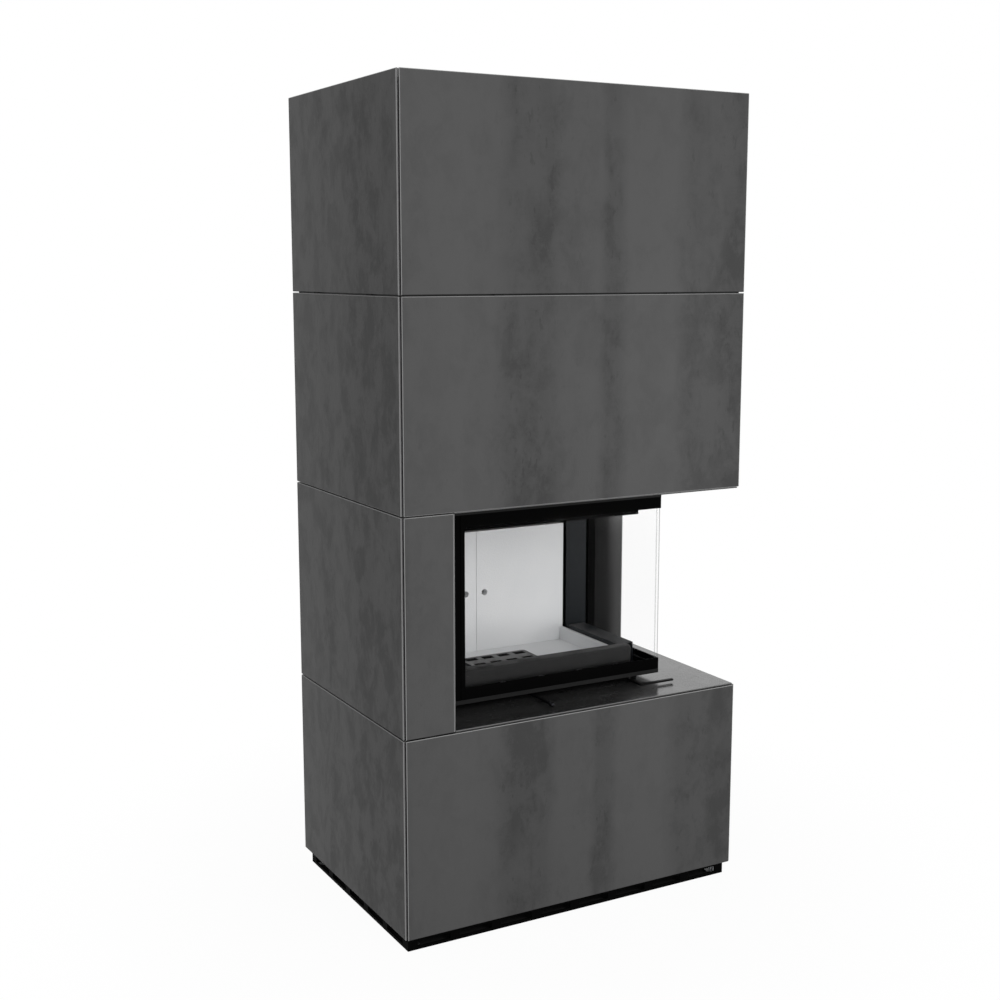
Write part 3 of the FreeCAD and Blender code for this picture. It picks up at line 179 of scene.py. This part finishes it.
def fired_slab(name, light, dark, body, under_shade, gloss, roughness, **glaze):
    """The print of one kind of slab: its light and dark tone, and the body that its arrises show.

    The arris on the under side has a painted tone of its own, for the shade that falls on it in the joints.
    """
    item, point, normal = material(name, IOR=1.5, Specular_IOR_Level=gloss, **glaze)
    # x - y grows along the left face and on along the front one. The run takes both to 0 .. 1.
    x, y, _ = point.split()
    rear_left, per_metre, sway = 0.81, 0.617, 0.06
    wander = point.noise((2.4, 2.4, 1.5), 3)
    run = (x - y + rear_left) * per_metre + (wander - 0.5) * sway
    bands = run.make("ValToRGB", {"stops": [
        (0, 0), (0.09, 0.15), (0.13, 0.6), (0.17, 0.35), (0.23, 0.7), (0.28, 1), (0.385, 0.95), (0.41, 0.2),
        (0.5, 0), (0.55, 0.2), (0.58, 0.95), (0.635, 0.9), (0.655, 0.35), (0.72, 0.2), (0.735, 0.75),
        (0.755, 0.7), (0.775, 0.05), (0.86, 0), (0.89, 0.6), (0.94, 0.5), (0.97, 1)]}, {0: run})
    # Drift thins the stain out here and there, clouds and specks break it up, combed lays fine level lines
    # over it, and flecks are small dark spots.
    drift = point.noise((4.5, 4.5, 2), 4, 0.62).fade(0.34, 0.56)
    clouds = point.noise((17, 17, 11), 7, 0.7, 0.3).fade(0.42, 0.62)
    specks = point.noise((85, 85, 60), 4, 0.65).fade(0.5, 0.66)
    combed = point.noise((30, 30, 330), 3, 0.6).fade(0.48, 0.75)
    flecks = point.noise((60, 60, 26), 3, 0.6).fade(0.62, 0.7)
    stain = bands * (0.55 + 0.45 * drift) * (0.66 + 0.3 * clouds + 0.25 * specks * clouds + 0.12 * combed)
    tone = (stain + 0.13 * clouds * drift + 0.3 * flecks * (0.2 + bands)).mixed(light, dark)
    # Flat is 1 on the slab's faces, whose normals lie on an axis, and 0 on the slanted arrises.
    across, along, up = normal.split()
    across, along = abs(across), abs(along)
    flat = across.calc("MAXIMUM", across.calc("MAXIMUM", across, along), abs(up)).fade(0.8, 0.97)
    # Arrises that face down take the painted shade tone; the other arrises show the paler body.
    arris = up.fade(-0.6, -0.4).mixed(under_shade, body)
    feed(item, Base_Color=flat.mixed(arris, tone), Roughness=roughness + 0.08 * clouds,
         bump=point.noise(420, 2) + 1.5 * specks, depth=0.00006)
    return item


# The two kinds differ only in the under arrises' painted tone: the dark painted shade of the joints, or, on
# the slabs that bridge the niche, a paler painted light from the niche below.
outer_slabs = fired_slab("fired_slab", light=0.078, dark=0.045, body=0.3, under_shade=0.016,
                         gloss=0.1, roughness=0.42)
bridging_slabs = fired_slab("fired_slab_bridging", light=0.078, dark=0.045, body=0.3, under_shade=0.22,
                            gloss=0.1, roughness=0.42)
for name in nodes:
    if name.endswith("_middle_slab"):
        coat(bridging_slabs, name)
    elif name.endswith("_slab"):
        coat(outer_slabs, name)

# The niche's floor and rear slabs are polished and painted darker than the outer slabs: painted shade for
# the shade under the overhang. The rear one's polish fades out on the side next to the insert, where the
# dull slab stands for the deeper shade in that corner.
floor_slab = fired_slab("fired_slab_polished", light=0.031, dark=0.021, body=0.15, under_shade=0.15,
                        gloss=0.1, roughness=0.4, Coat_Weight=1, Coat_Roughness=0.18)
coat(floor_slab, "niche_floor_slab")
rear_slab = fired_slab("fired_slab_shaded", light=0.017, dark=0.011, body=0.14, under_shade=0.14,
                       gloss=0.05, roughness=0.55, Coat_Roughness=0.1)
# The clear coat covers only the part away from the insert; the dull part beside it keeps the painted shade
# of the corner.
dull_to, glossy_from = 0.425, 0.475
point = Socket(rear_slab.node_tree).make("TexCoord", out=3)
reach = point.split()[0] + 0.02 * point.noise((5, 5, 3), 3)
feed(rear_slab, Coat_Weight=reach.fade(dull_to, glossy_from))
coat(rear_slab, "niche_rear_slab")


# Black heat-proof paint on sheet steel: the plinth, the insert's shell, and the rails and uprights of the
# door and the side pane. It is matt, with a fine spatter that a low light shows.
touching = 1e-6  # metres between vertices that are one and the same


def put(mesh, title, item, *names, crease=32):
    """Places a finished mesh on the body of the CAD pieces that it stands for.

    Its shading breaks at edges sharper than the crease, in degrees.
    """
    mesh.name = title
    mesh.materials.clear()
    mesh.materials.append(item)
    for face in mesh.polygons:
        face.use_smooth = True
    mesh.set_sharp_from_angle(angle=math.radians(crease))
    piece = bpy.data.objects.new(title, mesh)
    bpy.context.scene.collection.objects.link(piece)
    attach(piece, nodes[names[0]]["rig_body"])
    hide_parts(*names)
    next(s["material_slot"] for s in frame["record"]["subparts"] if s["node"] == names[0])


def softened(name, title, width, item):
    """A copy of a CAD piece, merged and with its sharp edges rounded, that stands for it."""
    level, sharp = math.radians(1), math.radians(35)
    mesh = nodes[name].data.copy()
    shape = bmesh.new()
    shape.from_mesh(mesh)
    bmesh.ops.remove_doubles(shape, verts=shape.verts, dist=touching)
    bmesh.ops.dissolve_limit(shape, angle_limit=level, verts=shape.verts, edges=shape.edges)
    edges = [e for e in shape.edges if e.is_manifold and e.calc_face_angle() > sharp]
    bmesh.ops.bevel(shape, geom=edges, offset=width, segments=2, profile=0.5, affect="EDGES",
                    material=-1, clamp_overlap=True)
    shape.to_mesh(mesh)
    shape.free()
    put(mesh, title, item, name, crease=20)


black_paint, point, _ = material("black_paint", Specular_IOR_Level=0.01)
cloud = point.noise(9, 3)
feed(black_paint, Base_Color=cloud.mixed(0.001, 0.0022), Roughness=0.5 + 0.12 * cloud,
     bump=point.noise(900, 2), depth=0.00005)
coat(black_paint, "plinth_walls", "firebox_base", "hearth_plate", "firebox_walls", "air_wash_profile")
for name in ("door_bottom_rail", "door_top_rail", "door_stile", "door_stile_cover", "side_rails",
             "side_rear_post"):
    softened(name, name + "_pressed", 0.0007, black_paint)

# What the cladding and the grate hide has a plainer, greyer coat: the frame, the top grille, the insert's
# top with its hood and flue pipe, and the ash pan. Dust settles on the upward faces.
grey_paint, point, normal = material("grey_paint", Specular_IOR_Level=0.25)
cloud = point.noise(9, 3)
dust = normal.split()[2].fade(0.6, 0.95) * point.noise(26, 4).fade(0.35, 0.75)
feed(grey_paint, Base_Color=dust.mixed(cloud.mixed(0.012, 0.018), 0.045), Roughness=0.45 + 0.3 * dust,
     bump=point.noise(900, 2), depth=0.00005)
coat(grey_paint, "frame_rails", "frame_posts", "top_grille", "firebox_top_plate", "smoke_hood", "flue_pipe",
     "ash_pan")

# The side duct and its slanted wall stand in the fire chamber. Their heat-proof paint has gone bluish, and
# fine ash lies on the duct's top.
wall_paint, point, normal = material("chamber_wall_paint", Specular_IOR_Level=0.2)
cloud = point.noise((5, 5, 2), 3)
ash = normal.split()[2].fade(0.6, 0.95) * point.noise((14, 14, 1), 5).fade(0.25, 0.7)
paint = cloud.mixed((0.011, 0.013, 0.015, 1), (0.017, 0.02, 0.023, 1))
feed(wall_paint, Base_Color=ash.mixed(paint, 0.085), Roughness=0.42 + 0.3 * ash,
     bump=point.noise(900, 2), depth=0.00004)
softened("side_air_duct", "side_duct_folded", 0.0009, wall_paint)

# The narrow edge trims of the door and the side, the hinge brackets and the handle: steel bars in a
# satin paint. The bottom trims are painted a shade greyer, a painted highlight for the sill's light that
# they catch.
trim_paint, point, _ = material("trim_paint", Specular_IOR_Level=0.1)
height = point.split()[2]
# Painted highlight: the bottom trims, between these heights, get a lighter colour for the sill's light.
sill_highlight = height.fade(0.538, 0.541) * (1 - height.fade(0.5525, 0.5535))
cloud = point.noise(14, 3)
feed(trim_paint, Base_Color=sill_highlight.mixed(cloud.mixed(0.0012, 0.0025), cloud.mixed(0.008, 0.012)),
     Roughness=0.4 + 0.1 * cloud, bump=point.noise(1100, 2), depth=0.00003)
softened("door_trims", "door_trim_bars", 0.0006, trim_paint)
softened("side_trims", "side_trim_bars", 0.0006, trim_paint)
softened("hinge_brackets", "hinge_brackets_filed", 0.0005, trim_paint)
softened("door_handle", "handle_bar", 0.0009, trim_paint)

# Galvanised steel: the rear panels, the insert's legs and the screw feet.
zinc, point, _ = material("galvanised", Metallic=1)
flake = point.make("TexVoronoi", {"feature": "F1"}, {"Vector": point, "Scale": 70}, 1)
flake = flake.make("SeparateColor", None, {0: flake})
feed(zinc, Base_Color=flake.mixed((0.36, 0.37, 0.38, 1), (0.52, 0.53, 0.54, 1)),
     Roughness=0.38 + 0.2 * flake)
coat(zinc, "rear_panels", "insert_legs", "levelling_feet")


# The rear panels' screws: pan heads with a hexagon socket, yellow from their plating, one where each CAD
# screw is.
def turned(low, high, steps, profile):
    """A profile spun about the Y axis, to fill a box: its bmesh, radius, length and place.

    The profile's points are shares of the radius and of the length.
    """
    shape = bmesh.new()
    radius, length = (high.x - low.x) / 2, high.y - low.y
    line = [shape.verts.new((radius * r, length * t, 0)) for r, t in profile]
    edges = [shape.edges.new(pair) for pair in zip(line, line[1:])]
    bmesh.ops.spin(shape, geom=line + edges, axis=(0, 1, 0), angle=math.tau, steps=steps, use_merge=True)
    bmesh.ops.remove_doubles(shape, verts=shape.verts, dist=touching)
    return shape, radius, length, Matrix.Translation(((low.x + high.x) / 2, low.y, (low.z + high.z) / 2))


def finished(shape, title):
    """The mesh of a bmesh, which is freed."""
    mesh = bpy.data.meshes.new(title)
    shape.to_mesh(mesh)
    shape.free()
    return mesh


plating, point, _ = material("screw_plating", Metallic=1)
cloud = point.noise(300, 2)
feed(plating, Base_Color=cloud.mixed((0.34, 0.27, 0.13, 1), (0.46, 0.38, 0.2, 1)),
     Roughness=0.3 + 0.15 * cloud)
head_across = 0.012  # metres; vertices closer than this are of one screw
places = []
for vertex in nodes["rear_panel_screws"].data.vertices:
    near = next((group for group in places if (group[0] - vertex.co).length < head_across), None)
    if near:
        near.append(vertex.co)
    else:
        places.append([vertex.co])
screws = bmesh.new()
for group in places:
    low, high = (Vector(pick(co[axis] for co in group) for axis in range(3)) for pick in (min, max))
    head, radius, rise, place = turned(low, high, steps=24, profile=(
        (1, 0), (1, 0.35), (0.93, 0.7), (0.75, 0.94), (0.55, 1)))
    near_top, socket_radius, socket_depth = rise * 0.9, radius * 0.42, rise * 0.6
    rim = [e for e in head.edges if e.is_boundary and e.verts[0].co.y > near_top]
    facing = Matrix.Translation((0, rise, 0)) @ Matrix.Rotation(math.pi / 2, 4, "X")
    socket = bmesh.ops.create_circle(head, segments=6, radius=socket_radius, matrix=facing)
    lip = list({e for vertex in socket["verts"] for e in vertex.link_edges})
    bmesh.ops.bridge_loops(head, edges=rim + lip)
    sunk = bmesh.ops.extrude_edge_only(head, edges=lip)["geom"]
    bmesh.ops.translate(head, verts=[g for g in sunk if isinstance(g, bmesh.types.BMVert)],
                        vec=(0, -socket_depth, 0))
    bmesh.ops.holes_fill(head, edges=[e for e in head.edges if e.is_boundary], sides=0)
    bmesh.ops.recalc_face_normals(head, faces=head.faces)
    head.transform(place)
    part = finished(head, "screw")
    screws.from_mesh(part)
    bpy.data.meshes.remove(part)
put(finished(screws, "pan_head_screws"), "pan_head_screws", plating, "rear_panel_screws")

# Bright steel: hinge pins and glass clips. The air slide and its lever are the same steel, blued.
steel, point, _ = material("bright_steel", Metallic=1)
brushed = point.noise((40, 400, 400), 3)
feed(steel, Base_Color=brushed.mixed(0.45, 0.6), Roughness=0.25 + 0.15 * brushed)
coat(steel, "hinge_pins")
softened("glass_clips", "glass_clips_bent", 0.0006, steel)
softened("side_glass_clips", "side_glass_clips_bent", 0.0006, steel)
blued, point, _ = material("blued_steel", Metallic=1)
brushed = point.noise((300, 40, 300), 3)
feed(blued, Base_Color=brushed.mixed((0.013, 0.013, 0.015, 1), (0.024, 0.024, 0.027, 1)),
     Roughness=0.35 + 0.15 * brushed)
softened("air_slide", "air_slide_blued", 0.0006, blued)

# The air lever's knob: a turned steel knob with a grooved grip and a domed end.
knob, _, _, place = turned(*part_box("air_knob"), steps=32, profile=(
    (0, 0), (0.55, 0), (0.8, 0.05), (0.95, 0.13), (1, 0.22), (1, 0.3), (0.9, 0.33), (0.9, 0.37), (1, 0.4),
    (1, 0.5), (0.9, 0.53), (0.9, 0.57), (1, 0.6), (1, 0.7), (0.9, 0.76), (0.66, 0.82), (0.6, 1), (0, 1)))
bmesh.ops.recalc_face_normals(knob, faces=knob.faces)
knob.transform(place)
put(finished(knob, "turned_knob"), "turned_knob", blued, "air_knob")

# Pressed vermiculite boards line the fire chamber; they are pale, matt and slightly flaky, with the
# edges broken by the saw.
board, point, _ = material("lining_board", Specular_IOR_Level=0.15)
flakes = point.make("TexVoronoi", {"feature": "F1"}, {"Vector": point, "Scale": 260})
soft = point.noise(7, 4)
pale = soft.fade(0.35, 0.7) * 0.7 + flakes * 0.3
feed(board, Base_Color=pale.mixed((0.83, 0.84, 0.85, 1), (0.885, 0.89, 0.895, 1)),
     Roughness=0.82 + 0.1 * soft, bump=flakes + 0.6 * point.noise(60, 4), depth=0.00025)
for name in ("hearth_board", "back_lining_left", "back_lining_right", "left_lining", "side_curb"):
    softened(name, name + "_sawn", 0.001, board)

# The baffle above the fire is of the same board, grey with soot.
sooty, point, _ = material("baffle_board", Specular_IOR_Level=0.1)
soot = point.noise(6, 5)
feed(sooty, Base_Color=soot.fade(0.3, 0.7).mixed((0.09, 0.085, 0.08, 1), (0.24, 0.23, 0.22, 1)),
     Roughness=0.85 + 0.1 * soot, bump=point.noise(200, 4), depth=0.0003)
softened("baffle_plate", "baffle_sooty", 0.001, sooty)

# The grate and the log guard are grey iron castings, sand-cast and blacked. Ash dust stays on their
# tops, most of all on the grate.
for name, title, dust in (("grate", "grate_casting", 0.2), ("front_log_guard", "guard_casting", 0.07)):
    iron, point, normal = material("cast_iron_" + name, Specular_IOR_Level=0.2)
    sand = point.noise(500, 4, 0.7)
    worn = point.noise(22, 4)
    ash = normal.split()[2].fade(0.5, 0.95) * point.noise((20, 20, 1), 5).fade(0.2, 0.6)
    feed(iron, Base_Color=ash.mixed(worn.mixed(0.006, 0.012), dust), Roughness=0.5 + 0.2 * sand,
         bump=sand, depth=0.0003)
    softened(name, title, 0.0014, iron)

# The panes: clear glass-ceramic, 4 mm thick, so thin a tint that only the polished edges show it.
for name, facing_axis, edge_cover in (("front_glass", 1, 0.5), ("side_glass", 0, 0.35)):
    pane, point, normal = material(name + "_pane", Roughness=0.03, IOR=1.45)
    edge = 1 - abs(normal.split()[facing_axis]).fade(0.4, 0.6)
    smoke = point.noise(3, 3)
    feed(pane, Base_Color=edge.mixed((0.02, 0.022, 0.022, 1), (0.2, 0.22, 0.21, 1)),
         Alpha=0.007 + 0.01 * smoke + edge_cover * edge)
    coat(pane, name)

# The door's seal: a glass-fibre rope of three strands, pressed flat in its groove, along the stile and
# the two rails.
cotton, point, _ = material("seal_rope", Specular_IOR_Level=0.1, Roughness=0.9)
fibres = point.noise(2600, 2)
feed(cotton, Base_Color=fibres.mixed(0.05, 0.13), bump=fibres, depth=0.0001)
low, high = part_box("door_seal")
half = (high.y - low.y) / 2
strand_radius, strand_offset = half * 0.54, half * 0.46
step, steps_per_turn = 0.0014, 7
level, upright = Matrix(), Matrix.Rotation(-math.pi / 2, 4, "Y")
pressed_flat = Matrix.Diagonal((1, 1, 2, 1))
rope = bmesh.new()
for start, turn, length in (((low.x, low.y + half, low.z + 2 * half), level, high.x - low.x),
                            ((low.x, low.y + half, high.z - 2 * half), level, high.x - low.x),
                            ((low.x + 2 * half, low.y + half, low.z), upright, high.z - low.z)):
    steps = round(length / step)
    strand = bmesh.new()
    across = Matrix.Translation((0, strand_offset, 0)) @ Matrix.Rotation(math.pi / 2, 4, "Y")
    ring = bmesh.ops.create_circle(strand, segments=6, radius=strand_radius, matrix=across)
    bmesh.ops.spin(strand, geom=ring["verts"] + strand.edges[:], axis=(1, 0, 0),
                   dvec=(length / steps, 0, 0), angle=math.tau * steps / steps_per_turn, steps=steps)
    bmesh.ops.holes_fill(strand, edges=[e for e in strand.edges if e.is_boundary], sides=0)
    bmesh.ops.recalc_face_normals(strand, faces=strand.faces)
    for third in range(3):
        part = bpy.data.meshes.new("strand")
        strand.transform(Matrix.Rotation(math.tau / 3, 4, "X"))
        strand.to_mesh(part)
        part.transform(Matrix.Translation(start) @ turn @ pressed_flat)
        rope.from_mesh(part)
        bpy.data.meshes.remove(part)
    strand.free()
put(finished(rope, "seal_rope"), "seal_rope", cotton, "door_seal")

# Small pads of black rubber keep the slabs' joints open.
rubber, point, _ = material("spacer_rubber", Specular_IOR_Level=0.2)
cloud = point.noise(120, 2)
feed(rubber, Base_Color=cloud.mixed(0.006, 0.012), Roughness=0.7 + 0.15 * cloud)
coat(rubber, "joint_spacers")


# The floor and the light: a pale floor, 18 m across, in a plain white room, lit softly from the front, the
# right and above. The floor glows nearly as white as the room around it, but not under the plinth, where it
# is painted dark: a painted shadow.
def room(tree):
    """An empty tree's first socket, and 1 on the rays that see the plain white of the room."""
    for item in list(tree.nodes):
        tree.nodes.remove(item)
    root = Socket(tree)
    path = root.make("LightPath").output.node
    seen, gloss, clear = (Socket(tree, path.outputs[f"Is {ray} Ray"]) for ray in
                          ("Camera", "Glossy", "Transmission"))
    return root, seen.calc("MAXIMUM", seen.calc("MAXIMUM", seen, gloss), clear)


square = bmesh.new()
bmesh.ops.create_grid(square, x_segments=1, y_segments=1, size=9)
floor = bpy.data.objects.new("floor", finished(square, "floor"))
bpy.context.scene.collection.objects.link(floor)
ground = bpy.data.materials.new("floor")
ground.use_nodes = True
root, seen = room(ground.node_tree)
point = root.make("TexCoord", out=3)
x, y, _ = point.split()
plinth_middle, plinth_half = (-0.007, -0.0125), (0.4655, 0.3015)
x, y = x - plinth_middle[0], y - plinth_middle[1]
# The plinth's footprint, where the floor gets a painted shadow and does not glow.
under_shade = x.calc("LESS_THAN", abs(x), plinth_half[0]) * y.calc("LESS_THAN", abs(y), plinth_half[1])
away = point.make("VectorMath", {"operation": "LENGTH"}, {0: point}, 1).fade(0.5, 1.5)
whiteness = 0.96 + 0.04 * away
# Under the plinth the floor's colour is a painted shadow, 0.03 against 0.9.
lit = root.make("BsdfDiffuse", None, {"Color": under_shade.mixed(0.9, 0.03)})
glow = root.make("Emission", None, {"Color": (1, 1, 1, 1), "Strength": 1.0})
both = root.make("MixShader", None, {0: seen * whiteness * (1 - under_shade), 1: lit, 2: glow})
end = ground.node_tree.nodes.new("ShaderNodeOutputMaterial")
ground.node_tree.links.new(both.output, end.inputs["Surface"])
floor.data.materials.append(ground)

world = bpy.data.worlds.new("room")
bpy.context.scene.world = world
world.use_nodes = True
root, seen = room(world.node_tree)
dim = root.make("Background", None, {"Color": (1, 1, 1, 1), "Strength": 0.54})
white = root.make("Background", None, {"Color": (1, 1, 1, 1), "Strength": 1})
both = root.make("MixShader", None, {0: seen, 1: dim, 2: white})
end = world.node_tree.nodes.new("ShaderNodeOutputWorld")
world.node_tree.links.new(both.output, end.inputs["Surface"])

aim = Vector((0, 0, 0.9))
for name, place, size, power in (("key", (0.1, -5.4, 0.9), 1.8, 42), ("window", (3.4, -4.2, 0.9), 1.8, 43),
                                 ("ceiling", (0.5, -4.3, 3.1), 2, 45)):
    lamp = bpy.data.lights.new(name, "AREA")
    lamp.size = size
    lamp.energy = power
    item = bpy.data.objects.new(name, lamp)
    item.location = place
    item.rotation_euler = (aim - Vector(place)).to_track_quat("-Z", "Y").to_euler()
    bpy.context.scene.collection.objects.link(item)
